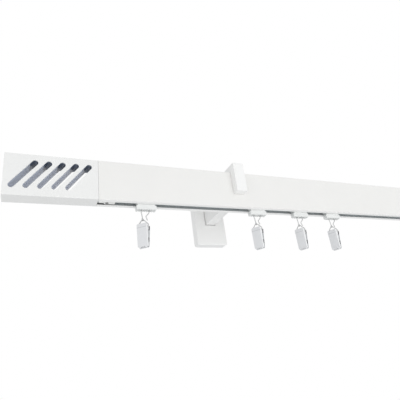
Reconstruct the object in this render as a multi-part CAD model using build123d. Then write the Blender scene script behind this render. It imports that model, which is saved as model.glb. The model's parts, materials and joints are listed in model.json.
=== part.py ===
from build123d import *
import os
from math import acos, atan2, cos, degrees, hypot, sin

# A wall-mounted rectangular curtain rod with an inner track: an extruded aluminium bar,
# two slotted end caps, two wall brackets that hook over the bar from behind, two end stops,
# and six gliders. Each glider carries a wire hook, and each hook a sprung clip on a wire bail.
#
# Millimetres. X runs along the rod to the right, Y points into the wall, Z is up.
# The origin is the middle of the left bracket's wall fixing, on the wall plane.

os.makedirs("parts", exist_ok=True)

# Rod bar
rod_length = 862.0
rod_depth = 14.0
rod_height = 35.0
rod_wall = 1.2
rod_edge_radius = 0.5
rod_bottom_z = -18.2
rod_standoff = 62.4
lip_thickness = 1.5
slot_width = 5.6
channel_height = 8.0
web_thickness = 1.2

# Brackets
bracket_inset = 126.4
bracket_width = 10.6
plate_width = 28.0
plate_height = 54.0
plate_thickness = 2.5
plate_corner = 3.0
wall_screw_spacing = 36.0
wall_screw_hole_radius = 2.25
wall_screw_head_radius = 4.4
wall_screw_sink_depth = 1.7
cover_depth = 9.3
cover_wall = 1.6
cover_side_gap = 1.1
cover_end_gap = 1.9
cover_corner_radius = 2.6
cover_bevel = 0.9
cover_slot_gap = 0.5
arm_bottom_z = -8.9
arm_height = 17.0
arm_edge = 0.5
arm_head_depth = 11.0
arm_head_slope = 0.5
arm_screw_radius = 2.0
arm_screw_head_radius = 3.6
arm_screw_length = 12.0
arm_screw_inset = 4.0
hook_top_thickness = 6.5
hook_front_thickness = 7.2
hook_front_bottom_z = -5.3
hook_edge = 0.4
hook_screw_radius = 2.0
hook_screw_head_radius = 3.4
hook_screw_head_height = 2.2
hook_screw_length = 10.0
clamp_screw_radius = 1.6
clamp_screw_drop = 5.9
clamp_socket_radius = 0.8
socket_radius = 1.1
socket_depth = 1.6

# End caps
cap_length = 68.9
cap_wall = 0.8
cap_end_wall = 1.5
cap_joint_gap = 0.15
cap_slot_count = 5
cap_slot_pitch = 10.0
cap_slot_angle = 51.5
cap_slot_reach = 25.1
cap_slot_width = 4.6
cap_slot_row_shift = -0.55
cap_slot_middle_rise = 18.1
tenon_length = 18.0
tenon_lead_in = 0.8

# End stops in the track
stop_gap = 0.8
stop_length = 12.8
stop_flange_height = 4.4
stop_body_width = 3.7
stop_body_drop = 0.2
stop_step_length = 4.4
stop_step_depth = 1.6
stop_screw_radius = 1.5
stop_screw_offset = 6.4
stop_socket_radius = 0.8

# Gliders
glider_positions_from_end = (108.5, 215.5, 263.5, 303.0)
glider_positions_from_far_end = (215.5, 108.5)
glider_length = 17.0
glider_neck_length = 15.0
glider_flange_length = 15.6
glider_flange_height = 1.8
glider_flange_corner = 1.2
glider_crown_width = 5.0
glider_crown_height = 1.6
glider_depth = 5.0
glider_body_top_drop = 1.2
glider_body_bottom_drop = 4.9
glider_end_chamfer = 0.5
glider_rib_count = 7
glider_rib_pitch = 2.1
glider_groove_width = 0.9
glider_groove_depth = 0.45
glider_pin_radius = 1.0
glider_pin_drop = 3.6
glider_hook_offset = -0.9
pocket_half_length = 4.6
pocket_top_drop = 0.9

# Wire hooks
wire_sides = 6
hook_wire_radius = 0.43
hook_arch_radius = 3.4
hook_leg_lean = 0.8
hook_eye_radius = 1.0
free_leg_knee_x = 0.3
free_leg_knee_drop = 10.0
free_leg_tip_x = 1.4
free_leg_tip_drop = 13.4
hook_leg_bend = 1.2

# Clips, in their own frame: x across the front plate, y towards the rear jaw, z up,
# with the origin on the wire's centre line at the top of the bail
clip_yaws = (40.0, 56.0, 62.0, 66.0, 72.0, 75.0)
clip_top_drop = 13.0
clip_width = 8.4
clip_height = 20.5
clip_sheet = 0.7
clip_apex_rise = 4.2
clip_pivot_drop = 3.0
clip_pivot_back = 3.5
clip_crease_drop = 3.4
clip_crease_lean = 0.35
clip_top_corner = 0.6
clip_cheek_top_drop = 0.3
clip_bottom_corner = 1.3
clip_tooth_count = 4
clip_tooth_gap = 0.9
clip_tooth_height = 0.8
ear_back = 1.3
ear_rise = 1.6
ear_drop = 1.3
cheek_knee_back = 2.8
cheek_knee_drop = 6.0
cheek_end_back = 2.5
cheek_end_rise = 0.9
rear_top_back = 8.2
rear_top_drop = 0.7
rear_bottom_back = 3.7
rear_bottom_rise = 0.3
rear_sheet = 0.7
rear_cheek_gap = 0.25
rear_ear_reach = 1.2
rear_ear_slope = 1.5
rear_flange_front = 2.1
rear_flange_end_rise = 1.6
jaw_mouth_gap = 0.3
bail_wire_radius = 0.4
bail_apex_radius = 1.3
bail_side_gap = 0.2
bail_leg_straight = 2.4
bail_foot_radius = 0.6
bail_foot_gap = 0.8
spring_wire_radius = 0.25
spring_radius = 1.15
spring_full_turns = 2
spring_leg_slant = 20.0
spring_front_leg = 2.7
spring_rear_leg = 2.8
spring_coil_length = 1.6

# Clearances
press_gap = 0.1
running_gap = 0.08
sliding_gap = 0.3
lip_gap = 0.12
wire_gap = 0.1

# Places that follow from the sizes above
cover_width = plate_width + 2 * (cover_wall + cover_side_gap)
cover_height = plate_height + 2 * (cover_wall + cover_end_gap)
rod_left_x = -bracket_inset
rod_right_x = rod_left_x + rod_length
middle_x = rod_left_x + rod_length / 2
cap_left_x = rod_left_x - cap_joint_gap - cap_length
bracket_spacing = rod_length - 2 * bracket_inset
rod_back_y = -rod_standoff
rod_front_y = rod_back_y - rod_depth
rod_middle_y = (rod_back_y + rod_front_y) / 2
rod_top_z = rod_bottom_z + rod_height
rod_middle_z = (rod_bottom_z + rod_top_z) / 2
channel_width = rod_depth - 2 * rod_wall
channel_floor_z = rod_bottom_z + lip_thickness
channel_top_z = channel_floor_z + channel_height
chamber_bottom_z = channel_top_z + web_thickness
chamber_top_z = rod_top_z - rod_wall
arm_top_z = arm_bottom_z + arm_height
arm_head_back_y = rod_back_y + press_gap + arm_head_depth
hook_top_z = rod_top_z + press_gap + hook_top_thickness
hook_front_y = rod_front_y - press_gap - hook_front_thickness
pin_z = rod_bottom_z - glider_pin_drop
bail_apex_z = rod_bottom_z - clip_top_drop
hook_eye_z = bail_apex_z - bail_wire_radius - hook_wire_radius - wire_gap + hook_eye_radius
arch_top_z = pin_z + glider_pin_radius + sliding_gap - wire_gap + hook_wire_radius
arch_centre_z = arch_top_z - hook_arch_radius
hook_leg_x = -hook_arch_radius + hook_leg_lean
clip_x_offset = glider_hook_offset + hook_leg_x
plate_front = -clip_pivot_back
plate_top = -clip_apex_rise
plate_bottom = plate_top - clip_height
pivot_z = plate_top - clip_pivot_drop
cheek_inside = clip_width / 2 - clip_sheet
bail_side_x = clip_width / 2 + bail_side_gap + bail_wire_radius
pin_hole_radius = bail_wire_radius + running_gap
glider_xs = [cap_left_x + d for d in glider_positions_from_end]
glider_xs += [2 * middle_x - cap_left_x - d for d in glider_positions_from_far_end]


def block(x0, x1, y0, y1, z0, z1):
    """A box between two corners."""
    return Pos((x0 + x1) / 2, (y0 + y1) / 2, (z0 + z1) / 2) * Box(x1 - x0, y1 - y0, z1 - z0)


def rod_pin(axis, x, y, z, radius, length):
    """A round bar that starts at a point and runs along an axis."""
    turns = {"X": (0, 90, 0), "Y": (-90, 0, 0), "Z": (0, 0, 0)}
    align = (Align.CENTER, Align.CENTER, Align.MIN)
    return Location((x, y, z), turns[axis]) * Cylinder(radius, length, align=align)


def prism_yz(points, x0, x1):
    """A side outline, given as y and z, drawn out from x0 to x1."""
    face = make_face(Polyline(*[(x0, y, z) for y, z in points], close=True))
    return extrude(face, amount=x1 - x0, dir=(1, 0, 0))


def prism_xz(points, y0, y1):
    """A front outline, given as x and z, drawn out from y0 to y1."""
    face = make_face(Polyline(*[(x, y0, z) for x, z in points], close=True))
    return extrude(face, amount=y1 - y0, dir=(0, 1, 0))


def box_profile(x0, x1):
    """A bar of the rod's outline, with rounded long edges."""
    plane = Plane((x0, rod_middle_y, rod_middle_z), x_dir=(0, 1, 0), z_dir=(1, 0, 0))
    outline = RectangleRounded(rod_depth, rod_height, rod_edge_radius)
    return extrude(plane * outline, amount=x1 - x0)


def on_right(shape):
    """The same piece at the other end of the rod, as a mirror image."""
    return mirror(shape, about=Plane.YZ.offset(middle_x))


def save(shape, name):
    shape.label = name
    export_step(shape, "parts/" + name + ".step")


# Rod bar
def make_rod_profile():
    """The extrusion: a closed upper chamber over a track that opens downwards."""
    inside_y = channel_width / 2
    bar = box_profile(rod_left_x, rod_right_x)
    front_y = rod_middle_y - inside_y
    back_y = rod_middle_y + inside_y
    bar -= block(rod_left_x, rod_right_x, front_y, back_y, chamber_bottom_z, chamber_top_z)
    bar -= block(rod_left_x, rod_right_x, front_y, back_y, channel_floor_z, channel_top_z)
    slot_front = rod_middle_y - slot_width / 2
    slot_back = rod_middle_y + slot_width / 2
    bar -= block(rod_left_x, rod_right_x, slot_front, slot_back, rod_bottom_z - 1, channel_floor_z)
    return bar


# End caps
def cap_slots():
    """The row of slanted slots, cut right through from front to back."""
    slots = []
    for i in range(cap_slot_count):
        step = (i - (cap_slot_count - 1) / 2) * cap_slot_pitch
        x = cap_left_x + cap_length / 2 + cap_slot_row_shift + step
        z = rod_bottom_z + cap_slot_middle_rise
        plane = Plane((x, rod_back_y + 1, z), x_dir=(1, 0, 0), z_dir=(0, -1, 0))
        outline = SlotCenterToCenter(cap_slot_reach, cap_slot_width, rotation=cap_slot_angle)
        slots.append(extrude(plane * outline, amount=rod_depth + 2))
    return slots


def make_cap_shell():
    """The white casing, open towards the rod."""
    end_x = cap_left_x + cap_length
    shell = box_profile(cap_left_x, end_x)
    hollow_start = cap_left_x + cap_end_wall
    half_y = rod_depth / 2 - cap_wall
    front_y = rod_middle_y - half_y
    back_y = rod_middle_y + half_y
    bottom_z = rod_bottom_z + cap_wall
    shell -= block(hollow_start, end_x, front_y, back_y, bottom_z, rod_top_z - cap_wall)
    return shell - cap_slots()


def make_cap_core():
    """The dark insert behind the slots, with the tenon that plugs into the rod."""
    start_x = cap_left_x + cap_end_wall + press_gap
    end_x = cap_left_x + cap_length
    inset = cap_wall + press_gap
    front_y = rod_front_y + inset
    back_y = rod_back_y - inset
    core = block(start_x, end_x, front_y, back_y, rod_bottom_z + inset, rod_top_z - inset)
    core -= cap_slots()
    tenon_y = channel_width / 2 - press_gap
    tenon_end = rod_left_x + tenon_length
    bottom = chamber_bottom_z + press_gap
    top = chamber_top_z - press_gap
    tenon = block(end_x, tenon_end, rod_middle_y - tenon_y, rod_middle_y + tenon_y, bottom, top)
    lead_in = chamfer(tenon.faces().sort_by(Axis.X)[-1].edges(), tenon_lead_in)
    return core + lead_in


# End stops
def stop_screw_place():
    x = rod_left_x + stop_gap + stop_screw_offset
    y = rod_middle_y - slot_width / 2 + press_gap + stop_body_width / 2
    return x, y


def make_end_stop():
    """A block that fills the track beside the cap, with a stepped body down in the slot."""
    x0 = rod_left_x + stop_gap
    x1 = x0 + stop_length
    flange_y = channel_width / 2 - press_gap
    flange_z = channel_floor_z + press_gap
    flange_top = flange_z + stop_flange_height
    stop = block(x0, x1, rod_middle_y - flange_y, rod_middle_y + flange_y, flange_z, flange_top)
    body_y = rod_middle_y - slot_width / 2 + press_gap
    body_z = rod_bottom_z - stop_body_drop
    body_back_y = body_y + stop_body_width
    step_y = body_back_y - stop_step_depth
    stop += block(x0, x1, body_y, body_back_y, body_z, flange_z)
    stop -= block(x0, x0 + stop_step_length, step_y, body_back_y, body_z, flange_z)
    x, y = stop_screw_place()
    hole_length = stop_body_drop + lip_thickness + press_gap + stop_flange_height
    return stop - rod_pin("Z", x, y, body_z, stop_screw_radius, hole_length)


def make_end_stop_screw():
    """A headless screw that lifts the block against the lips of the track."""
    x, y = stop_screw_place()
    start_z = rod_bottom_z
    end_z = channel_top_z - press_gap
    screw = rod_pin("Z", x, y, start_z, stop_screw_radius - press_gap, end_z - start_z)
    return screw - hex_socket((x, y, start_z), (0, 0, 1), stop_socket_radius)


# Wall brackets
def wall_screw_heights():
    return (-wall_screw_spacing / 2, wall_screw_spacing / 2)


def arm_screw_heights():
    return (arm_bottom_z + arm_screw_inset, arm_top_z - arm_screw_inset)


def make_base_plate():
    """The flat plate that screws to the wall, countersunk for two wall screws."""
    half_w = plate_width / 2
    half_h = plate_height / 2
    plate = block(-half_w, half_w, -plate_thickness, 0, -half_h, half_h)
    plate = chamfer(plate.edges().filter_by(Axis.Y), plate_corner)
    for z in wall_screw_heights():
        plate -= rod_pin("Y", 0, -plate_thickness, z, wall_screw_hole_radius, plate_thickness)
        cone = Cone(wall_screw_head_radius, wall_screw_hole_radius, wall_screw_sink_depth)
        cone_y = -plate_thickness + wall_screw_sink_depth / 2
        plate -= Location((0, cone_y, z), (-90, 0, 0)) * cone
    for z in arm_screw_heights():
        plate -= rod_pin("Y", 0, -plate_thickness, z, arm_screw_radius + press_gap, plate_thickness)
        seat = arm_screw_head_radius + press_gap
        plate -= rod_pin("Y", 0, -plate_thickness / 2, z, seat, plate_thickness / 2)
    return plate


def make_cover():
    """The rounded cover over the base plate, with an opening for the arm."""
    back = Plane((0, 0, 0), x_dir=(1, 0, 0), z_dir=(0, -1, 0))
    outline = RectangleRounded(cover_width, cover_height, cover_corner_radius)
    cover = extrude(back * outline, amount=cover_depth)
    front_edges = cover.faces().sort_by(Axis.Y)[0].edges()
    cover = chamfer(front_edges, cover_bevel)
    hollow_w = cover_width / 2 - cover_wall
    hollow_h = cover_height / 2 - cover_wall
    hollow_front = -cover_depth + cover_wall
    cover -= block(-hollow_w, hollow_w, hollow_front, 0, -hollow_h, hollow_h)
    opening_x = bracket_width / 2 + cover_slot_gap
    bottom = arm_bottom_z - cover_slot_gap
    top = arm_top_z + cover_slot_gap
    return cover - block(-opening_x, opening_x, -cover_depth - 1, 0, bottom, top)


def make_arm():
    """The arm from the base plate to the rod, with an upright head behind the rod."""
    half = bracket_width / 2
    front_y = rod_back_y + press_gap
    head_top = rod_top_z
    slope = arm_head_back_y + (head_top - arm_top_z) * arm_head_slope
    outline = [
        (-plate_thickness, arm_bottom_z),
        (-plate_thickness, arm_top_z),
        (slope, arm_top_z),
        (arm_head_back_y, head_top),
        (front_y, head_top),
        (front_y, arm_bottom_z),
    ]
    arm = prism_yz(outline, -half, half)
    long_edges = [e for e in arm.edges() if abs(e.center().X) > half - 0.01]
    arm = chamfer(long_edges, arm_edge)
    for z in arm_screw_heights():
        depth = arm_screw_length - plate_thickness / 2
        start = -plate_thickness - depth
        arm -= rod_pin("Y", 0, start, z, arm_screw_radius, depth)
    clamp_z = head_top - clamp_screw_drop
    arm -= rod_pin("Y", 0, front_y, clamp_z, clamp_screw_radius, arm_head_depth)
    screw_y = (arm_head_back_y + front_y) / 2
    depth = hook_screw_length - hook_top_thickness - press_gap + sliding_gap
    return arm - rod_pin("Z", 0, screw_y, head_top - depth, hook_screw_radius, depth)


def make_front_hook():
    """The piece that lies over the rod and reaches down its front."""
    half = bracket_width / 2
    inner_y = rod_front_y - press_gap
    under_z = rod_top_z + press_gap
    outline = [
        (arm_head_back_y, under_z),
        (arm_head_back_y, hook_top_z),
        (hook_front_y, hook_top_z),
        (hook_front_y, hook_front_bottom_z),
        (inner_y, hook_front_bottom_z),
        (inner_y, under_z),
    ]
    hook = prism_yz(outline, -half, half)
    hook = chamfer(hook.faces().sort_by(Axis.Y)[0].edges(), hook_edge)
    screw_y = (arm_head_back_y + rod_back_y + press_gap) / 2
    hook -= rod_pin("Z", 0, screw_y, under_z, hook_screw_radius + press_gap, hook_top_thickness)
    seat_z = hook_top_z - hook_screw_head_height - press_gap
    seat_radius = hook_screw_head_radius + press_gap
    return hook - rod_pin("Z", 0, screw_y, seat_z, seat_radius, hook_screw_head_height + 1)


def hex_socket(origin, direction, radius=socket_radius):
    plane = Plane(origin, z_dir=direction)
    return extrude(plane * RegularPolygon(radius, 6), amount=socket_depth)


def make_hook_screw():
    """The screw that ties the front hook down to the arm's head."""
    screw_y = (arm_head_back_y + rod_back_y + press_gap) / 2
    head_z = hook_top_z - hook_screw_head_height
    top = hook_top_z
    shank = rod_pin("Z", 0, screw_y, top - hook_screw_length, hook_screw_radius - press_gap,
                    hook_screw_length)
    head = rod_pin("Z", 0, screw_y, head_z, hook_screw_head_radius, hook_screw_head_height)
    return shank + head - hex_socket((0, screw_y, top), (0, 0, -1))


def make_clamp_screw():
    """The headless screw in the arm's head that presses on the back of the rod."""
    z = rod_top_z - clamp_screw_drop
    start = rod_back_y + press_gap / 2
    end = arm_head_back_y - press_gap
    radius = clamp_screw_radius - press_gap
    screw = rod_pin("Y", 0, start, z, radius, end - start)
    return screw - hex_socket((0, end, z), (0, -1, 0), clamp_socket_radius)


def make_arm_screws():
    """Two screws that hold the arm from behind the base plate."""
    screws = []
    for z in arm_screw_heights():
        head_length = plate_thickness / 2 - press_gap
        head = rod_pin("Y", 0, -head_length, z, arm_screw_head_radius, head_length)
        tip = -arm_screw_length
        shank = rod_pin("Y", 0, tip, z, arm_screw_radius - press_gap, arm_screw_length)
        screws.append(head + shank - hex_socket((0, 0, z), (0, -1, 0)))
    return Compound(children=screws)


# Gliders
def make_glider():
    """A flange in the track, a neck through the slot and a ribbed body with a pin below."""
    middle = glider_length / 2
    depth = glider_depth / 2
    flange_z = channel_floor_z + lip_gap
    flange_y = channel_width / 2 - sliding_gap
    half = glider_flange_length / 2
    flange_top = flange_z + glider_flange_height
    glider = block(-half, half, -flange_y, flange_y, flange_z, flange_top)
    glider = chamfer(glider.edges().filter_by(Axis.Z), glider_flange_corner)
    crown = glider_crown_width / 2
    crown_top = flange_top + glider_crown_height
    crown_end = half - glider_flange_corner
    glider += block(-crown_end, crown_end, -crown, crown, flange_top, crown_top)
    neck = glider_neck_length / 2
    body_top = rod_bottom_z - glider_body_top_drop
    body_bottom = rod_bottom_z - glider_body_bottom_drop
    glider += block(-neck, neck, -depth, depth, body_top, flange_z)
    outline = [
        (-middle, body_top),
        (middle, body_top),
        (middle, body_bottom + glider_end_chamfer),
        (middle - glider_end_chamfer, body_bottom),
        (-middle + glider_end_chamfer, body_bottom),
        (-middle, body_bottom + glider_end_chamfer),
    ]
    glider += prism_xz(outline, -depth, depth)
    for i in range(glider_rib_count):
        x = (i - (glider_rib_count - 1) / 2) * glider_rib_pitch
        groove_top = body_bottom + glider_groove_depth
        half_groove = glider_groove_width / 2
        glider -= block(x - half_groove, x + half_groove, -depth, depth, body_bottom, groove_top)
    return glider - hook_pocket() + glider_pin()


def hook_pocket():
    """The slot in the glider that the hook's arch swings in."""
    half_y = hook_wire_radius + sliding_gap
    x0 = glider_hook_offset - pocket_half_length
    x1 = glider_hook_offset + pocket_half_length
    bottom = rod_bottom_z - glider_body_bottom_drop
    return block(x0, x1, -half_y, half_y, bottom, rod_bottom_z - pocket_top_drop)


def glider_pin():
    half_y = hook_wire_radius + sliding_gap
    return rod_pin("Y", glider_hook_offset, -half_y, pin_z, glider_pin_radius, 2 * half_y)


# Wire hooks
def wire_section(origin, direction, radius):
    """A wire's round section, drawn with few sides because the wires are thin."""
    return Plane(origin=origin, z_dir=direction) * RegularPolygon(radius, wire_sides)


def wire_run(edge, radius):
    """A wire along one straight run or one arc."""
    start = edge @ 0
    along = edge % 0
    section = wire_section(start, along, radius)
    if edge.geom_type == GeomType.LINE:
        return extrude(section, amount=edge.length, dir=along)
    centre = edge.arc_center
    turn = Axis(centre, (start - centre).cross(along))
    return revolve(section, axis=turn, revolution_arc=degrees(edge.length / edge.radius))


def wire(path, radius):
    """A wire along a smooth path of straight runs and arcs."""
    runs = [wire_run(edge, radius) for edge in path.edges()]
    return runs[0].fuse(*runs[1:])


def touch_point(x, z, centre_z, radius):
    """Where a straight run from a point on the right meets a circle over the origin."""
    reach = atan2(z - centre_z, x)
    span = hypot(z - centre_z, x)
    touch = reach + acos(radius / span)
    return radius * cos(touch), centre_z + radius * sin(touch)


def make_hook(yaw):
    """An arch over the glider's pin, a leg that ends in an eye and a free sprung leg."""
    knee_z = rod_bottom_z - free_leg_knee_drop
    eye_top_z = hook_eye_z + hook_eye_radius
    right_x, right_z = touch_point(free_leg_knee_x, knee_z, arch_centre_z, hook_arch_radius)
    left_x, left_z = touch_point(-hook_leg_x, eye_top_z, arch_centre_z, hook_arch_radius)
    tip = (free_leg_tip_x, 0, rod_bottom_z - free_leg_tip_drop)
    knee = (free_leg_knee_x, 0, knee_z)
    free_leg = FilletPolyline(tip, knee, (right_x, 0, right_z), radius=hook_leg_bend)
    arch = ThreePointArc((right_x, 0, right_z), (0, 0, arch_top_z), (-left_x, 0, left_z))
    leg = Line((-left_x, 0, left_z), (hook_leg_x, 0, eye_top_z))
    hook = wire(Wire([*free_leg.edges(), *arch.edges(), *leg.edges()]), hook_wire_radius)
    ring = revolve(wire_section((0, hook_eye_radius, 0), (0, 0, 1), hook_wire_radius), axis=Axis.X)
    hook += Location((hook_leg_x, 0, hook_eye_z), (0, 0, -yaw)) * ring
    return Pos(glider_hook_offset, 0, 0) * hook


# Clips
def bail_path():
    """The bail's centre line: in through both ears, up the sides and over the top."""
    side = bail_side_x
    foot = bail_foot_gap / 2
    knee_z = pivot_z + bail_leg_straight
    tx, tz = touch_point(side, knee_z, -bail_apex_radius, bail_apex_radius)
    right = FilletPolyline((foot, 0, pivot_z), (side, 0, pivot_z), (side, 0, knee_z), (tx, 0, tz),
                           radius=bail_foot_radius)
    apex = ThreePointArc((tx, 0, tz), (0, 0, 0), (-tx, 0, tz))
    left = FilletPolyline((-tx, 0, tz), (-side, 0, knee_z), (-side, 0, pivot_z),
                          (-foot, 0, pivot_z), radius=bail_foot_radius)
    return Wire([*right.edges(), *apex.edges(), *left.edges()])


def make_bail():
    """The wire that hangs the clip from the hook's eye and is the pin of both jaws."""
    return wire(bail_path(), bail_wire_radius)


def tooth_gaps(y0, y1, z0, z1):
    """The notches between the teeth along the mouth of a jaw."""
    gaps = []
    pitch = (clip_width - 2 * clip_bottom_corner) / clip_tooth_count
    for i in range(clip_tooth_count - 1):
        x = (i - (clip_tooth_count - 2) / 2) * pitch
        gaps.append(block(x - clip_tooth_gap / 2, x + clip_tooth_gap / 2, y0, y1, z0, z1))
    return gaps


def make_front_jaw():
    """A pressed channel: a creased front plate with two cheeks bent back to the pivot."""
    half = clip_width / 2
    front = plate_front
    crease = plate_top - clip_crease_drop
    plate = [
        (front, plate_bottom),
        (front, crease),
        (front + clip_crease_lean, plate_top),
        (front + clip_crease_lean + clip_sheet, plate_top),
        (front + clip_sheet, crease),
        (front + clip_sheet, plate_bottom),
    ]
    top = plate_top - clip_cheek_top_drop
    cheek = [
        (front + clip_crease_lean + clip_sheet / 2, top),
        (ear_back, pivot_z + ear_rise),
        (ear_back, pivot_z - ear_drop),
        (front + cheek_knee_back, plate_top - cheek_knee_drop),
        (front + cheek_end_back, plate_bottom + cheek_end_rise),
        (front + clip_sheet / 2, plate_bottom + cheek_end_rise),
        (front + clip_sheet / 2, crease),
    ]
    jaw = prism_yz(plate, -half, half)
    for x0 in (-half, half - clip_sheet):
        jaw += prism_yz(cheek, x0, x0 + clip_sheet)
    top_cut = clip_top_corner
    bottom_cut = clip_bottom_corner
    outline = [
        (-half, plate_bottom + bottom_cut),
        (-half, plate_top - top_cut),
        (-half + top_cut, plate_top),
        (half - top_cut, plate_top),
        (half, plate_top - top_cut),
        (half, plate_bottom + bottom_cut),
        (half - bottom_cut, plate_bottom),
        (-half + bottom_cut, plate_bottom),
    ]
    jaw &= prism_xz(outline, front - 1, ear_back + 1)
    jaw -= rod_pin("X", -half - 1, 0, pivot_z, pin_hole_radius, clip_width + 2)
    jaw -= tooth_gaps(front - 1, front + 1, plate_bottom, plate_bottom + clip_tooth_height)
    return jaw


def rear_plate_back(drop):
    """How far back the outside of the rear plate lies, at a height below the clip's top."""
    height = clip_height - rear_bottom_rise - rear_top_drop
    share = (drop - rear_top_drop) / height
    return plate_front + rear_top_back + (rear_bottom_back - rear_top_back) * share


def make_rear_jaw():
    """A leaning plate with two inner ears on the pivot and a toothed lip at the mouth."""
    half = clip_width / 2
    top = plate_top - rear_top_drop
    bottom = plate_bottom + rear_bottom_rise
    back_top = plate_front + rear_top_back
    back_bottom = plate_front + rear_bottom_back
    plate = [
        (back_bottom - rear_sheet, bottom),
        (back_bottom, bottom),
        (back_top, top),
        (back_top - rear_sheet, top),
    ]
    jaw = prism_yz(plate, -half, half)
    ear_x = cheek_inside - rear_cheek_gap
    flange_top = clip_pivot_drop - rear_ear_reach
    flange_end = clip_height - rear_flange_end_rise
    ear_low = clip_pivot_drop + rear_ear_reach
    flange_front = plate_front + rear_flange_front
    ear = [
        (rear_plate_back(flange_top) - rear_sheet / 2, plate_top - flange_top),
        (-rear_ear_reach, plate_top - flange_top),
        (-rear_ear_reach, plate_top - ear_low),
        (flange_front, plate_top - ear_low - rear_ear_slope),
        (flange_front, plate_top - flange_end),
        (rear_plate_back(flange_end) - rear_sheet / 2, plate_top - flange_end),
    ]
    for x0 in (-ear_x, ear_x - rear_sheet):
        jaw += prism_yz(ear, x0, x0 + rear_sheet)
    jaw -= rod_pin("X", -half, 0, pivot_z, pin_hole_radius, clip_width)
    lip_front = plate_front + clip_sheet + jaw_mouth_gap
    lip = block(-ear_x, ear_x, lip_front, back_bottom - rear_sheet / 2, bottom, bottom + rear_sheet)
    lip -= tooth_gaps(lip_front, lip_front + 1, bottom, bottom + rear_sheet)
    jaw += lip
    corner = clip_top_corner
    outline = [
        (-half, bottom + corner),
        (-half, top - corner),
        (-half + corner, top),
        (half - corner, top),
        (half, top - corner),
        (half, bottom + corner),
        (half - corner, bottom),
        (-half + corner, bottom),
    ]
    return jaw & prism_xz(outline, plate_front, back_top + 1)


def make_spring():
    """A torsion spring round the pivot, with a leg up the inside of each jaw."""
    turns = spring_full_turns + 0.5 - spring_leg_slant / 180
    pitch = spring_coil_length / turns
    coil = Helix(pitch, spring_coil_length, spring_radius, direction=(1, 0, 0))
    start = (-spring_coil_length / 2, 0, pivot_z)
    coil = Location(start, (90 + spring_leg_slant, 0, 0)) * coil
    first = coil @ 0
    last = coil @ 1
    front_leg = Line(first - (coil % 0) * spring_front_leg, first)
    rear_leg = Line(last, last + (coil % 1) * spring_rear_leg)
    path = Wire([*front_leg.edges(), *coil.edges(), *rear_leg.edges()])
    return sweep(wire_section(path @ 0, path % 0, spring_wire_radius), path=path)


def place_clip(shape, x, yaw):
    """Hangs a clip piece in its hook's eye, turned about the upright."""
    where = (x + clip_x_offset, rod_middle_y, bail_apex_z)
    return Location(where, (0, 0, -yaw)) * shape


def build():
    save(make_rod_profile(), "rod_profile")
    for make, name in (
        (make_cap_shell, "end_cap_shell"),
        (make_cap_core, "end_cap_core"),
        (make_end_stop, "end_stop"),
        (make_end_stop_screw, "end_stop_screw"),
    ):
        piece = make()
        save(piece, "left_" + name)
        save(on_right(piece), "right_" + name)
    for make, name in (
        (make_base_plate, "bracket_base_plate"),
        (make_cover, "bracket_cover"),
        (make_arm, "bracket_arm"),
        (make_front_hook, "bracket_front_hook"),
        (make_hook_screw, "bracket_hook_screw"),
        (make_clamp_screw, "bracket_clamp_screw"),
        (make_arm_screws, "bracket_arm_screws"),
    ):
        piece = make()
        save(piece, "left_" + name)
        save(Pos(bracket_spacing, 0, 0) * piece, "right_" + name)
    glider = make_glider()
    bail = make_bail()
    front_jaw = make_front_jaw()
    rear_jaw = make_rear_jaw()
    spring = make_spring()
    for i, x in enumerate(glider_xs):
        number = str(i + 1)
        yaw = clip_yaws[i]
        save(Pos(x, rod_middle_y, 0) * glider, "glider_" + number)
        save(Pos(x, rod_middle_y, 0) * make_hook(yaw), "wire_hook_" + number)
        save(place_clip(bail, x, yaw), "clip_bail_" + number)
        save(place_clip(front_jaw, x, yaw), "clip_front_jaw_" + number)
        save(place_clip(rear_jaw, x, yaw), "clip_rear_jaw_" + number)
        save(place_clip(spring, x, yaw), "clip_spring_" + number)


build()
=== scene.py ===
import json
from math import acos, atan2, cos, hypot, pi, radians, sin, tan

import bmesh
import bpy
from mathutils import Matrix, Vector

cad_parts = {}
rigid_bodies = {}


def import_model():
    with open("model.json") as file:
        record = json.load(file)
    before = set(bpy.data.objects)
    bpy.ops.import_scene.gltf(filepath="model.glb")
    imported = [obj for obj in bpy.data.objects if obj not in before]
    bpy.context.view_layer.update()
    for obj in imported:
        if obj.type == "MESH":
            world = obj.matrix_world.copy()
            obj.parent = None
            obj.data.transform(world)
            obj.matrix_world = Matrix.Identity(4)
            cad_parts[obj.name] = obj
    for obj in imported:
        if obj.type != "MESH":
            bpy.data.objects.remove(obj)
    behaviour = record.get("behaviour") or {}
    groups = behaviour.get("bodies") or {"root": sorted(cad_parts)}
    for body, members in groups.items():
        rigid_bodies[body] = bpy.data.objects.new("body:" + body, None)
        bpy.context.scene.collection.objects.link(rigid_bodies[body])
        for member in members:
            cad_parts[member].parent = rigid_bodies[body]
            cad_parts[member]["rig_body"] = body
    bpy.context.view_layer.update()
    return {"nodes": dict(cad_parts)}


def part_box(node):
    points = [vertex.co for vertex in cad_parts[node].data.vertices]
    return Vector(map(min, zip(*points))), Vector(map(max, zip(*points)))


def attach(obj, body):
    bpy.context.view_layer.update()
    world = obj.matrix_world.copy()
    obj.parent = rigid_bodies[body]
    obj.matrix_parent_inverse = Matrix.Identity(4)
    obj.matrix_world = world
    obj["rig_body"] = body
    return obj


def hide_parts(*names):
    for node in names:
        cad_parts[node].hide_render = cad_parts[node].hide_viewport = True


# The looks of the curtain rod: a finish for every piece, softened edges, light and camera.
# Metres and degrees, in the frame of the CAD part: X along the rod, Y into the wall, Z up.

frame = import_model()

# Camera, with its lens and sensor in millimetres
camera_place = (-0.178616, -0.367471, -0.158102)
camera_turn = (114.324449, 6.98656, -22.306889)
camera_lens = 36.66
camera_sensor = 36.0
camera_near = 0.01

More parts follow.
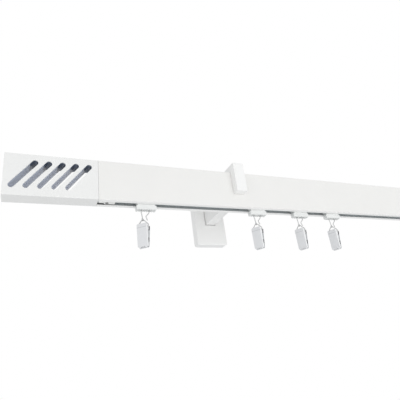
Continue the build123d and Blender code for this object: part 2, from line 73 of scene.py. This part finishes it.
# Floor, which the camera sees fade from floor_white near the middle to plain white
floor_z = -1.6
floor_radius = 30.0
floor_edges = 96
floor_grey = 0.9
floor_roughness = 0.9
floor_fade_from = 0.3
floor_fade_to = 3.5
floor_white = 0.7

# Lights
plain_white = (1, 1, 1, 1)
world_colour = (0.97, 0.985, 1, 1)
world_level = 0.74
light_target = (0.1, -0.07, -0.02)
lamps = {
    "key": {"place": (0.2, -1.15, -0.2), "power": 3.2, "size": 0.9},
    "side": {"place": (-1.5, -1.2, -0.3), "power": 3.2, "size": 1.2},
    "bounce": {"place": (0.1, -0.8, -1.3), "power": 3.4, "size": 1.4},
}

# Edge rounding of each kind of node
edge_rounding = {
    "rod_profile": 0.00004,
    "end_cap_shell": 0.00005,
    "end_cap_core": 0.0002,
    "end_stop": 0.00025,
    "end_stop_screw": 0.0001,
    "bracket_base_plate": 0.0003,
    "bracket_cover": 0.00045,
    "bracket_arm": 0.0002,
    "bracket_front_hook": 0.0003,
    "bracket_hook_screw": 0.0002,
    "bracket_clamp_screw": 0.0001,
    "bracket_arm_screws": 0.0002,
    "glider": 0.00022,
    "clip_front_jaw": 0.00018,
    "clip_rear_jaw": 0.00018,
}
rounding_steps = 3
rounding_angle = 28.0
big_face_weight = 100
smooth_angle = 35.0
weld_distance = 0.000002
flat_angle = 1.0

# These kinds keep their triangles, because joined flats spoil one of their faces
triangle_kinds = {"bracket_cover", "bracket_arm_screws", "bracket_hook_screw",
                  "bracket_clamp_screw", "end_stop_screw"}

# Sizes of the CAD part that the painted light and shade follow
rod_wall = 0.0012
lip_thickness = 0.0015
cap_length = 0.0689
cap_slot_count = 5
cap_slot_pitch = 0.010
cap_slot_angle = 51.5
cap_slot_reach = 0.0251
cap_slot_width = 0.0046
cap_slot_row_shift = -0.00055
cap_slot_middle_rise = 0.0181

# Bands of painted shade, measured down from a clip's top edge or down from a cap slot's upper
# end
cap_shade_length = 0.0052
clip_painted_shadow_bands = ((0.0, 0.0042), (0.0110, 0.0148))
clip_crease_drop = 0.0031
clip_crease_height = 0.0005

# How far off a plane a face may lie and still be painted with it
paint_margin = 0.0003

# Directions, and the cosines from which a face counts as facing one
up = Vector((0, 0, 1))
along_rod = Vector((1, 0, 0))
facing = 0.5
facing_aside = 0.6
facing_down = 0.9

# Wires: hooks, bails and springs
wire_steps = 12
wire_roundness = 4
clip_yaws = (40.0, 56.0, 62.0, 66.0, 72.0, 75.0)
glider_pin_drop = 0.0036
glider_hook_offset = -0.0009
hook_wire_radius = 0.00043
hook_arch_radius = 0.0034
hook_arch_rise = 0.00163
hook_leg_lean = 0.0008
hook_eye_radius = 0.001
free_leg_knee_x = 0.0003
free_leg_knee_drop = 0.010
free_leg_tip_x = 0.0014
free_leg_tip_drop = 0.0134
hook_leg_bend = 0.0012
clip_top_drop = 0.013
clip_pivot_z = -0.0072
wire_gap = 0.0001
bail_wire_radius = 0.0004
bail_side_x = 0.0048
bail_apex_radius = 0.0013
bail_leg_straight = 0.0024
bail_foot_radius = 0.0006
bail_foot_gap = 0.0008
spring_wire_radius = 0.00025
spring_radius = 0.00115
spring_turns = 2.5
spring_leg_slant = 20.0
spring_front_leg = 0.0027
spring_rear_leg = 0.0028
spring_coil_length = 0.0016

# The hook's long leg, and the eye at its foot in which the bail hangs
hook_leg_x = -hook_arch_radius + hook_leg_lean
hook_eye_z = -clip_top_drop - bail_wire_radius - hook_wire_radius - wire_gap + hook_eye_radius

# Textures of the finishes: scales in waves per metre, and how far tone and gloss vary
ramp_ends = (0.3, 0.7)
cloud_scale = 38.0
cloud_detail = 3.0
cloud_shade = 0.985
gloss_scale = 210.0
gloss_spread = 0.05
grain_detail = 1.0
grain_strength = 0.35
streak_scale_along = 60.0
streak_scale_across = 4200.0
streak_shade = 0.86
streak_gloss = (-0.06, 0.08)
streak_strength = 0.2
streak_depth = 0.00001

# Finishes: brushed metal where a streak axis is given, and a coated surface elsewhere
finish_facts = {
    "rod_white": {"colour": (0.86, 0.852, 0.83), "roughness": 0.42},
    # Painted light: the lips' undersides, paler than the rod's white
    "rod_lip": {"colour": (0.95, 0.945, 0.93), "roughness": 0.42},
    # Painted shade: the track's inside, the slot's rear edge and that edge beside the stops
    "rod_inside": {"colour": (0.74, 0.78, 0.79), "roughness": 0.5},
    "slot_edge": {"colour": (0.33, 0.345, 0.35), "roughness": 0.5},
    "slot_shade": {"colour": (0.05, 0.05, 0.05), "roughness": 0.5},
    "cap_white": {"colour": (0.86, 0.858, 0.845), "roughness": 0.36, "grain": 2200.0},
    "cap_dark": {"colour": (0.56, 0.6, 0.69), "roughness": 0.4, "depth": 0.000003},
    # Painted shade at the upper end of each cap slot
    "cap_deep": {"colour": (0.12, 0.15, 0.21), "roughness": 0.35, "depth": 0.000003},
    "bracket_white": {"colour": (0.92, 0.917, 0.905), "roughness": 0.36, "grain": 1800.0},
    "plate_steel": {"colour": (0.66, 0.67, 0.68), "roughness": 0.36, "streak_axis": "Z"},
    "screw_steel": {"colour": (0.6, 0.6, 0.6), "roughness": 0.3, "streak_axis": "Y"},
    "screw_dark": {"colour": (0.2, 0.2, 0.2), "roughness": 0.35, "streak_axis": "Y"},
    "stop_white": {"colour": (0.83, 0.83, 0.81), "roughness": 0.4},
    "glider_white": {"colour": (0.82, 0.83, 0.82), "roughness": 0.34, "grain": 2600.0},
    "wire_steel": {"colour": (0.6, 0.6, 0.6), "roughness": 0.28, "metallic": 0.3},
    "clip_metal": {"colour": (0.77, 0.775, 0.785), "roughness": 0.33, "coat": 0.15},
    # Painted light on the clip plates' sides; painted shade at the crease and inside the clip
    "clip_side": {"colour": (0.92, 0.922, 0.925), "roughness": 0.33, "coat": 0.15},
    "clip_crease": {"colour": (0.62, 0.625, 0.635), "roughness": 0.33, "coat": 0.15},
    "clip_inside": {"colour": (0.1, 0.1, 0.105), "roughness": 0.4, "metallic": 0.4},
    "clip_shade": {"colour": (0.6, 0.61, 0.62), "roughness": 0.4},
}

# The main finish of each kind of node
finishes = {
    "rod_profile": "rod_white",
    "end_cap_shell": "cap_white",
    "end_cap_core": "cap_dark",
    "end_stop": "stop_white",
    "end_stop_screw": "screw_dark",
    "bracket_base_plate": "plate_steel",
    "bracket_cover": "bracket_white",
    "bracket_arm": "bracket_white",
    "bracket_front_hook": "bracket_white",
    "bracket_hook_screw": "screw_steel",
    "bracket_clamp_screw": "screw_steel",
    "bracket_arm_screws": "screw_steel",
    "glider": "glider_white",
    "wire_hook": "wire_steel",
    "clip_bail": "wire_steel",
    "clip_front_jaw": "clip_metal",
    "clip_rear_jaw": "clip_metal",
    "clip_spring": "screw_steel",
}


# Materials
def add_node(tree, kind, **values):
    """A shader node with its plain settings and its unlinked inputs set by name."""
    node = tree.nodes.new(kind)
    for name, value in values.items():
        if name in node.inputs:
            node.inputs[name].default_value = value
        else:
            setattr(node, name, value)
    return node


def new_material(name):
    material = bpy.data.materials.new(name)
    material.use_nodes = True
    tree = material.node_tree
    return material, tree, tree.nodes["Principled BSDF"]


def noise(tree, vector, scale, detail=2.0):
    node = add_node(tree, "ShaderNodeTexNoise", Scale=scale, Detail=detail)
    tree.links.new(vector, node.inputs["Vector"])
    return node.outputs["Fac"]


def two_tone(tree, factor, colour, shade):
    """A colour that runs from a darker tone of itself to the full one with a factor."""
    ramp = add_node(tree, "ShaderNodeValToRGB")
    tones = (tuple(c * shade for c in colour), colour)
    for element, position, tone in zip(ramp.color_ramp.elements, ramp_ends, tones):
        element.position = position
        element.color = (*tone, 1)
    tree.links.new(factor, ramp.inputs["Fac"])
    return ramp.outputs["Color"]


def spread(tree, factor, low, high):
    """A number that runs between two values with a factor."""
    node = add_node(tree, "ShaderNodeMapRange")
    node.inputs["To Min"].default_value = low
    node.inputs["To Max"].default_value = high
    tree.links.new(factor, node.inputs["Value"])
    return node.outputs["Result"]


def connect(tree, shader, tone, gloss, height, strength, depth):
    """Gives a shader its colour, its roughness and the bumps of a height."""
    bump = add_node(tree, "ShaderNodeBump", Strength=strength, Distance=depth)
    tree.links.new(height, bump.inputs["Height"])
    tree.links.new(tone, shader.inputs["Base Color"])
    tree.links.new(gloss, shader.inputs["Roughness"])
    tree.links.new(bump.outputs["Normal"], shader.inputs["Normal"])


def coated(name, colour, roughness, metallic=0.0, coat=0.0, grain=1400.0, depth=0.00002):
    """A painted or moulded surface: faint mottling, uneven gloss and a fine grain."""
    material, tree, shader = new_material(name)
    shader.inputs["Metallic"].default_value = metallic
    shader.inputs["Coat Weight"].default_value = coat
    where = add_node(tree, "ShaderNodeTexCoord").outputs["Object"]
    clouds = noise(tree, where, cloud_scale, cloud_detail)
    tone = two_tone(tree, clouds, colour, cloud_shade)
    patches = noise(tree, where, gloss_scale)
    gloss = spread(tree, patches, roughness - gloss_spread, roughness + gloss_spread)
    grains = noise(tree, where, grain, grain_detail)
    connect(tree, shader, tone, gloss, grains, grain_strength, depth)
    return material


def brushed(name, colour, roughness, streak_axis):
    """Bright metal with fine drawn lines along one axis."""
    material, tree, shader = new_material(name)
    shader.inputs["Metallic"].default_value = 1.0
    where = add_node(tree, "ShaderNodeTexCoord").outputs["Object"]
    stretch = add_node(tree, "ShaderNodeMapping")
    stretch.inputs["Scale"].default_value = [
        streak_scale_along if axis == streak_axis else streak_scale_across for axis in "XYZ"]
    tree.links.new(where, stretch.inputs["Vector"])
    lines = noise(tree, stretch.outputs["Vector"], 1.0)
    tone = two_tone(tree, lines, colour, streak_shade)
    gloss = spread(tree, lines, *(roughness + change for change in streak_gloss))
    connect(tree, shader, tone, gloss, lines, streak_strength, streak_depth)
    return material


def make_materials():
    made = {}
    for name, facts in finish_facts.items():
        make = brushed if "streak_axis" in facts else coated
        made[name] = make(name, **facts)
    return made


# Pieces in place of CAD nodes
def kind_of(node_name):
    """A node's name without its side or its number."""
    words = [w for w in node_name.split("_") if w not in ("left", "right") and not w.isdigit()]
    return "_".join(words)


def middle_of(node_name):
    low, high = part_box(node_name)
    return (Vector(low) + Vector(high)) / 2


def add_piece(name, data):
    piece = bpy.data.objects.new(name, data)
    bpy.context.scene.collection.objects.link(piece)
    return piece


def plain_mesh(piece):
    """The plain mesh that a piece's modifiers or its curve make, for use without them."""
    view = bpy.context.evaluated_depsgraph_get()
    data = bpy.data.meshes.new_from_object(piece.evaluated_get(view))
    piece.modifiers.clear()
    return data


def dress(piece, material):
    piece.data.materials.clear()
    piece.data.materials.append(material)


def settle(piece, node):
    """Puts a piece on its node's body, so that it moves with it, and hides the node.

    The record has one slot for the screws, so the dark ones name that of the steel ones.
    """
    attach(piece, node["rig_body"])
    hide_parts(node.name)


# Softened edges
def stop_ends():
    """The inner ends of the two end stops, along the rod."""
    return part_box("left_end_stop")[1][0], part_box("right_end_stop")[0][0]


def crease_edges(top):
    """The upper and the lower edge of the painted shade at the crease, below a clip's top
    edge.
    """
    upper = top - clip_crease_drop
    return upper, upper - clip_crease_height


def cuts(kind, name):
    """Where a node's look is cut straight across, so that painted shade can go on in bands."""
    if kind == "rod_profile":
        return along_rod, stop_ends()
    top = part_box(name)[1][2]
    if kind == "clip_rear_jaw":
        return up, [top - drop for band in clip_painted_shadow_bands for drop in band if drop > 0]
    if kind == "clip_front_jaw":
        return up, crease_edges(top)
    return up, ()


def softened(node, rounding, join_flats, axis, places):
    """A copy of a CAD node, cut across at the places given and with its edges rounded."""
    mesh = bmesh.new()
    mesh.from_mesh(node.data)
    bmesh.ops.remove_doubles(mesh, verts=mesh.verts, dist=weld_distance)
    if join_flats:
        angle = radians(flat_angle)
        bmesh.ops.dissolve_limit(mesh, angle_limit=angle, verts=mesh.verts, edges=mesh.edges)
    for place in places:
        parts = mesh.faces[:] + mesh.edges[:] + mesh.verts[:]
        bmesh.ops.bisect_plane(mesh, geom=parts, plane_co=axis * place, plane_no=axis)
    data = bpy.data.meshes.new(node.name + "_look")
    mesh.to_mesh(data)
    mesh.free()
    for face in data.polygons:
        face.use_smooth = True
    piece = add_piece(node.name + "_look", data)
    bevel = piece.modifiers.new("rounding", "BEVEL")
    bevel.width = rounding
    bevel.segments = rounding_steps
    bevel.limit_method = "ANGLE"
    bevel.angle_limit = radians(rounding_angle)
    bevel.use_clamp_overlap = True
    shading = piece.modifiers.new("shading", "WEIGHTED_NORMAL")
    shading.weight = big_face_weight
    shading.keep_sharp = True
    piece.data = plain_mesh(piece)
    return piece


# Painted light and shade
def paint(piece, material, chosen):
    """Puts painted light or shade on the faces that a test chooses by middle and direction."""
    piece.data.materials.append(material)
    index = len(piece.data.materials) - 1
    for face in piece.data.polygons:
        if chosen(face.center, face.normal):
            face.material_index = index


def paint_track(piece, materials):
    """Lips in painted light; inside and rear slot edge in painted shade, darkest by the stops.
    """
    low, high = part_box("rod_profile")
    left_end, right_end = stop_ends()

    def lip(middle, normal):
        return normal.z < -facing_down and middle.z < low[2] + paint_margin

    def inside(middle, normal):
        within_y = low[1] + rod_wall / 2 < middle.y < high[1] - rod_wall / 2
        within_z = low[2] + paint_margin < middle.z < high[2] - rod_wall / 2
        return within_y and within_z and abs(normal.x) < facing

    def rear_edge(middle, normal):
        at_slot = middle.z < low[2] + lip_thickness
        return inside(middle, normal) and normal.y < -facing and at_slot

    def shade(middle, normal):
        return rear_edge(middle, normal) and not left_end < middle.x < right_end

    paint(piece, materials["rod_lip"], lip)
    paint(piece, materials["rod_inside"], inside)
    paint(piece, materials["slot_edge"], rear_edge)
    paint(piece, materials["slot_shade"], shade)


def paint_stop(piece, materials):
    """The end stop's flange, up in the track, takes the track's painted shade."""
    flange_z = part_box("rod_profile")[0][2] + lip_thickness
    paint(piece, materials["rod_inside"], lambda middle, normal: middle.z > flange_z)


def cap_slot_lines(side):
    """The middle and the upward direction of each slanted slot in an end cap."""
    low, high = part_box(side + "_end_cap_shell")
    sign = 1 if side == "left" else -1
    start_x = low[0] if side == "left" else high[0]
    angle = radians(cap_slot_angle)
    along = Vector((sign * cos(angle), 0, sin(angle)))
    lines = []
    for i in range(cap_slot_count):
        step = (i - (cap_slot_count - 1) / 2) * cap_slot_pitch
        reach = cap_length / 2 + cap_slot_row_shift + step
        middle = Vector((start_x + sign * reach, 0, low[2] + cap_slot_middle_rise))
        lines.append((middle, along))
    return lines


def slot_offset(point, line):
    """How far a point lies along a slot's line, and how far beside it."""
    middle, along = line
    away = Vector((point.x, 0, point.z)) - middle
    reach = away.dot(along)
    return reach, (away - along * reach).length


def paint_cap_core(piece, materials, side):
    """Painted shade in deeper blue at each slot's upper end, from a cut across its walls."""
    deep_from = cap_slot_reach / 2 + cap_slot_width / 2 - cap_shade_length
    edge = cap_slot_width / 2 + paint_margin
    lines = cap_slot_lines(side)
    mesh = bmesh.new()
    mesh.from_mesh(piece.data)
    for line in lines:
        middle, along = line
        walls = [f for f in mesh.faces if abs(f.normal.y) < facing
                 and slot_offset(f.calc_center_median(), line)[1] < edge]
        edges = [e for f in walls for e in f.edges]
        corners = [v for f in walls for v in f.verts]
        parts = list(dict.fromkeys(walls + edges + corners))
        place = middle + along * deep_from
        bmesh.ops.bisect_plane(mesh, geom=parts, plane_co=place, plane_no=along)
    mesh.to_mesh(piece.data)
    mesh.free()

    def deep(middle, normal):
        offsets = [slot_offset(middle, line) for line in lines]
        in_end = any(reach > deep_from and beside < edge for reach, beside in offsets)
        return in_end and abs(normal.y) <= facing

    paint(piece, materials["cap_deep"], deep)


def clip_forward(number):
    """The level direction that a clip's front plate faces."""
    forward = middle_of("clip_front_jaw_" + number) - middle_of("clip_rear_jaw_" + number)
    forward.z = 0
    return forward.normalized()


def paint_rear_jaw(piece, materials, number):
    """Painted shade on the rear jaw's inner face, seen in the gap, darkest at spring and grip.
    """
    forward = clip_forward(number)
    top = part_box("clip_rear_jaw_" + number)[1][2]

    def inner(middle, normal):
        return normal.dot(forward) > facing

    def dark(middle, normal):
        drop = top - middle.z
        return inner(middle, normal) and any(a < drop < b for a, b in clip_painted_shadow_bands)

    paint(piece, materials["clip_shade"], inner)
    paint(piece, materials["clip_inside"], dark)


def paint_front_jaw(piece, materials, number):
    """The front plate has sides in painted light and a painted shade line under its top edge.
    """
    forward = clip_forward(number)
    aside = Vector((-forward.y, forward.x, 0))
    upper, lower = crease_edges(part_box("clip_front_jaw_" + number)[1][2])

    def side(middle, normal):
        return abs(normal.dot(aside)) > facing_aside

    def crease(middle, normal):
        return normal.dot(forward) > facing and lower < middle.z < upper

    paint(piece, materials["clip_side"], side)
    paint(piece, materials["clip_crease"], crease)


def paint_details(piece, kind, name, materials):
    """Adds the painted light and shade of the kinds that have them."""
    words = name.split("_")
    if kind == "rod_profile":
        paint_track(piece, materials)
    elif kind == "end_stop":
        paint_stop(piece, materials)
    elif kind == "end_cap_core":
        paint_cap_core(piece, materials, words[0])
    elif kind == "clip_rear_jaw":
        paint_rear_jaw(piece, materials, words[-1])
    elif kind == "clip_front_jaw":
        paint_front_jaw(piece, materials, words[-1])


def dress_nodes(materials):
    """Gives every node its finish, most of them on a copy with rounded edges."""
    for name, node in frame["nodes"].items():
        kind = kind_of(name)
        finish = finishes[kind]
        dress(node, materials[finish])
        if kind not in edge_rounding:
            continue
        axis, places = cuts(kind, name)
        piece = softened(node, edge_rounding[kind], kind not in triangle_kinds, axis, places)
        dress(piece, materials[finish])
        paint_details(piece, kind, name, materials)
        settle(piece, node)


# Wires
def tube(name, points, radius, turn, place, closed=False):
    """A smooth round wire through points, turned about the upright and put in its place."""
    curve = bpy.data.curves.new(name, "CURVE")
    curve.dimensions = "3D"
    curve.bevel_depth = radius
    curve.bevel_resolution = wire_roundness
    curve.use_fill_caps = True
    line = curve.splines.new("POLY")
    line.points.add(len(points) - 1)
    turned = Matrix.Translation(place) @ Matrix.Rotation(turn, 4, "Z")
    for spot, point in zip(line.points, points):
        spot.co = (*(turned @ Vector(point)), 1)
    line.use_cyclic_u = closed
    draft = add_piece(name + "_line", curve)
    data = plain_mesh(draft)
    bpy.data.objects.remove(draft)
    for face in data.polygons:
        face.use_smooth = True
    data.set_sharp_from_angle(angle=radians(smooth_angle))
    return add_piece(name + "_look", data)


def arc(centre, radius, start, end):
    """Points on an arc in the upright plane, from one angle to another."""
    x, z = centre
    count = max(2, round(wire_steps * abs(end - start) / pi))
    angles = [start + (end - start) * i / count for i in range(count + 1)]
    return [(x + radius * cos(a), z + radius * sin(a)) for a in angles]


def rounded(before, corner, after, radius):
    """Points on the arc that rounds a corner between two straight runs."""
    into = (Vector(corner) - Vector(before)).normalized()
    out = (Vector(after) - Vector(corner)).normalized()
    turn = into.angle_signed(out)
    start = Vector(corner) - into * radius * tan(abs(turn) / 2)
    side = Vector((into.y, -into.x)) * (1 if turn > 0 else -1)
    centre = start + side * radius
    first = atan2(start.y - centre.y, start.x - centre.x)
    return arc(centre, radius, first, first - turn)


def touch_point(x, z, centre_z, radius):
    """Where a straight run from a point on the right meets a circle over the origin."""
    reach = atan2(z - centre_z, x)
    span = hypot(z - centre_z, x)
    touch = reach + acos(radius / span)
    return radius * cos(touch), centre_z + radius * sin(touch), touch


def upright(points):
    """Points in the plane of x and z as points in space."""
    return [(x, 0, z) for x, z in points]


def hook_points():
    """The hook's centre line from its free tip over the arch to the top of the eye."""
    centre_z = -glider_pin_drop + hook_arch_rise - hook_arch_radius
    knee = (free_leg_knee_x, -free_leg_knee_drop)
    tip = (free_leg_tip_x, -free_leg_tip_drop)
    eye_top = hook_eye_z + hook_eye_radius
    right_x, right_z, right = touch_point(*knee, centre_z, hook_arch_radius)
    left = touch_point(-hook_leg_x, eye_top, centre_z, hook_arch_radius)[2]
    bend = rounded(tip, knee, (right_x, right_z), hook_leg_bend)
    arch = arc((0, centre_z), hook_arch_radius, right, pi - left)
    return upright([tip, *bend, *arch, (hook_leg_x, eye_top)])


def bail_points():
    """The bail's centre line: in through both ears, up the sides and over the top."""
    side = bail_side_x
    foot = bail_foot_gap / 2
    low = clip_pivot_z
    knee = (side, low + bail_leg_straight)
    top_x, top_z, touch = touch_point(*knee, -bail_apex_radius, bail_apex_radius)
    corner = rounded((foot, low), (side, low), knee, bail_foot_radius)
    bend = rounded((side, low), knee, (top_x, top_z), bail_foot_radius)
    apex = arc((0, -bail_apex_radius), bail_apex_radius, touch, pi / 2)
    right = [(foot, low), *corner, *bend, *apex]
    left = [(-x, z) for x, z in reversed(right[:-1])]
    return upright(right + left)


def spring_points():
    """Two and a half turns round the pivot, less the slant of the leg at each end."""
    slant = radians(spring_leg_slant)
    angle = 2 * pi * spring_turns - 2 * slant
    count = round(2 * wire_steps * spring_turns)
    points = []
    for i in range(count + 1):
        share = i / count
        turn = pi + slant + angle * share
        x = spring_coil_length * (share - 0.5)
        y = spring_radius * cos(turn)
        points.append((x, y, clip_pivot_z + spring_radius * sin(turn)))
    rise = Vector((0, sin(slant), cos(slant)))
    front = Vector(points[0]) + Vector((0, -rise.y, rise.z)) * spring_front_leg
    rear = Vector(points[-1]) + rise * spring_rear_leg
    return [front, *points, rear]


def make_wires(materials):
    """Round wires in place of the CAD part's plainer ones."""
    rod_low, rod_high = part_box("rod_profile")
    middle_y = (rod_low[1] + rod_high[1]) / 2
    eye_points = [(0, y, z) for y, z in arc((0, 0), hook_eye_radius, 0, 2 * pi)[:-1]]
    for i, yaw in enumerate(clip_yaws):
        number = str(i + 1)
        turn = -radians(yaw)
        hook_x = middle_of("glider_" + number).x + glider_hook_offset
        hook_at = Vector((hook_x, middle_y, rod_low[2]))
        eye_at = hook_at + Vector((hook_leg_x, 0, hook_eye_z))
        clip_at = hook_at + Vector((hook_leg_x, 0, -clip_top_drop))
        hook = "wire_hook_" + number
        eye = hook + "_eye"
        bail = "clip_bail_" + number
        spring = "clip_spring_" + number
        wires = (
            (tube(hook, hook_points(), hook_wire_radius, 0, hook_at), hook),
            (tube(eye, eye_points, hook_wire_radius, turn, eye_at, closed=True), hook),
            (tube(bail, bail_points(), bail_wire_radius, turn, clip_at), bail),
            (tube(spring, spring_points(), spring_wire_radius, turn, clip_at), spring),
        )
        for piece, name in wires:
            finish = finishes[kind_of(name)]
            dress(piece, materials[finish])
            settle(piece, frame["nodes"][name])


# Surroundings
def make_floor():
    """A plain pale floor well below the rod, which fades out into the white far away."""
    mesh = bmesh.new()
    bmesh.ops.create_circle(mesh, cap_ends=True, segments=floor_edges, radius=floor_radius)
    data = bpy.data.meshes.new("floor")
    mesh.to_mesh(data)
    mesh.free()
    floor = add_piece("floor", data)
    floor.location = (light_target[0], light_target[1], floor_z)
    material, tree, shader = new_material("floor")
    shader.inputs["Base Color"].default_value = (floor_grey, floor_grey, floor_grey, 1)
    shader.inputs["Roughness"].default_value = floor_roughness
    where = add_node(tree, "ShaderNodeTexCoord")
    reach = add_node(tree, "ShaderNodeVectorMath", operation="LENGTH")
    tree.links.new(where.outputs["Object"], reach.inputs[0])
    fade = add_node(tree, "ShaderNodeMapRange")
    fade.inputs["From Min"].default_value = floor_fade_from
    fade.inputs["From Max"].default_value = floor_fade_to
    fade.inputs["To Min"].default_value = floor_white
    tree.links.new(reach.outputs["Value"], fade.inputs["Value"])
    paths = add_node(tree, "ShaderNodeLightPath")
    share = add_node(tree, "ShaderNodeMath", operation="MULTIPLY")
    tree.links.new(paths.outputs["Is Camera Ray"], share.inputs[0])
    tree.links.new(fade.outputs["Result"], share.inputs[1])
    white = add_node(tree, "ShaderNodeEmission", Color=plain_white, Strength=1.0)
    mix = add_node(tree, "ShaderNodeMixShader")
    tree.links.new(share.outputs[0], mix.inputs["Fac"])
    tree.links.new(shader.outputs["BSDF"], mix.inputs[1])
    tree.links.new(white.outputs[0], mix.inputs[2])
    tree.links.new(mix.outputs[0], tree.nodes["Material Output"].inputs["Surface"])
    data.materials.append(material)


def make_world():
    """Soft even light, with plain white for the camera, through glass and in reflections."""
    world = bpy.data.worlds.new("world")
    bpy.context.scene.world = world
    world.use_nodes = True
    tree = world.node_tree
    tree.nodes.clear()
    paths = add_node(tree, "ShaderNodeLightPath")
    seen = add_node(tree, "ShaderNodeMath", operation="MAXIMUM")
    tree.links.new(paths.outputs["Is Camera Ray"], seen.inputs[0])
    tree.links.new(paths.outputs["Is Transmission Ray"], seen.inputs[1])
    mirrored = add_node(tree, "ShaderNodeMath", operation="MAXIMUM")
    tree.links.new(seen.outputs[0], mirrored.inputs[0])
    tree.links.new(paths.outputs["Is Glossy Ray"], mirrored.inputs[1])
    light = add_node(tree, "ShaderNodeBackground", Color=world_colour, Strength=world_level)
    white = add_node(tree, "ShaderNodeBackground", Color=plain_white, Strength=1.0)
    mix = add_node(tree, "ShaderNodeMixShader")
    tree.links.new(mirrored.outputs[0], mix.inputs["Fac"])
    tree.links.new(light.outputs[0], mix.inputs[1])
    tree.links.new(white.outputs[0], mix.inputs[2])
    out = add_node(tree, "ShaderNodeOutputWorld")
    tree.links.new(mix.outputs[0], out.inputs["Surface"])


def make_lamp(name, place, power, size):
    """A soft square lamp that faces the rod and isn't seen itself."""
    lamp = bpy.data.lights.new(name, "AREA")
    lamp.energy = power
    lamp.size = size
    holder = add_piece(name, lamp)
    holder.location = place
    holder.visible_camera = False
    aim = Vector(light_target) - Vector(place)
    holder.rotation_euler = aim.to_track_quat("-Z", "Y").to_euler()


def make_camera():
    data = bpy.data.cameras.new("camera")
    data.lens = camera_lens
    data.sensor_width = camera_sensor
    data.clip_start = camera_near
    camera = add_piece("camera", data)
    camera.location = camera_place
    camera.rotation_euler = [radians(a) for a in camera_turn]
    bpy.context.scene.camera = camera


bpy.context.scene.view_settings.view_transform = "Standard"
all_materials = make_materials()
dress_nodes(all_materials)
make_wires(all_materials)
make_floor()
make_world()
for lamp_name, facts in lamps.items():
    make_lamp(lamp_name, **facts)
make_camera()
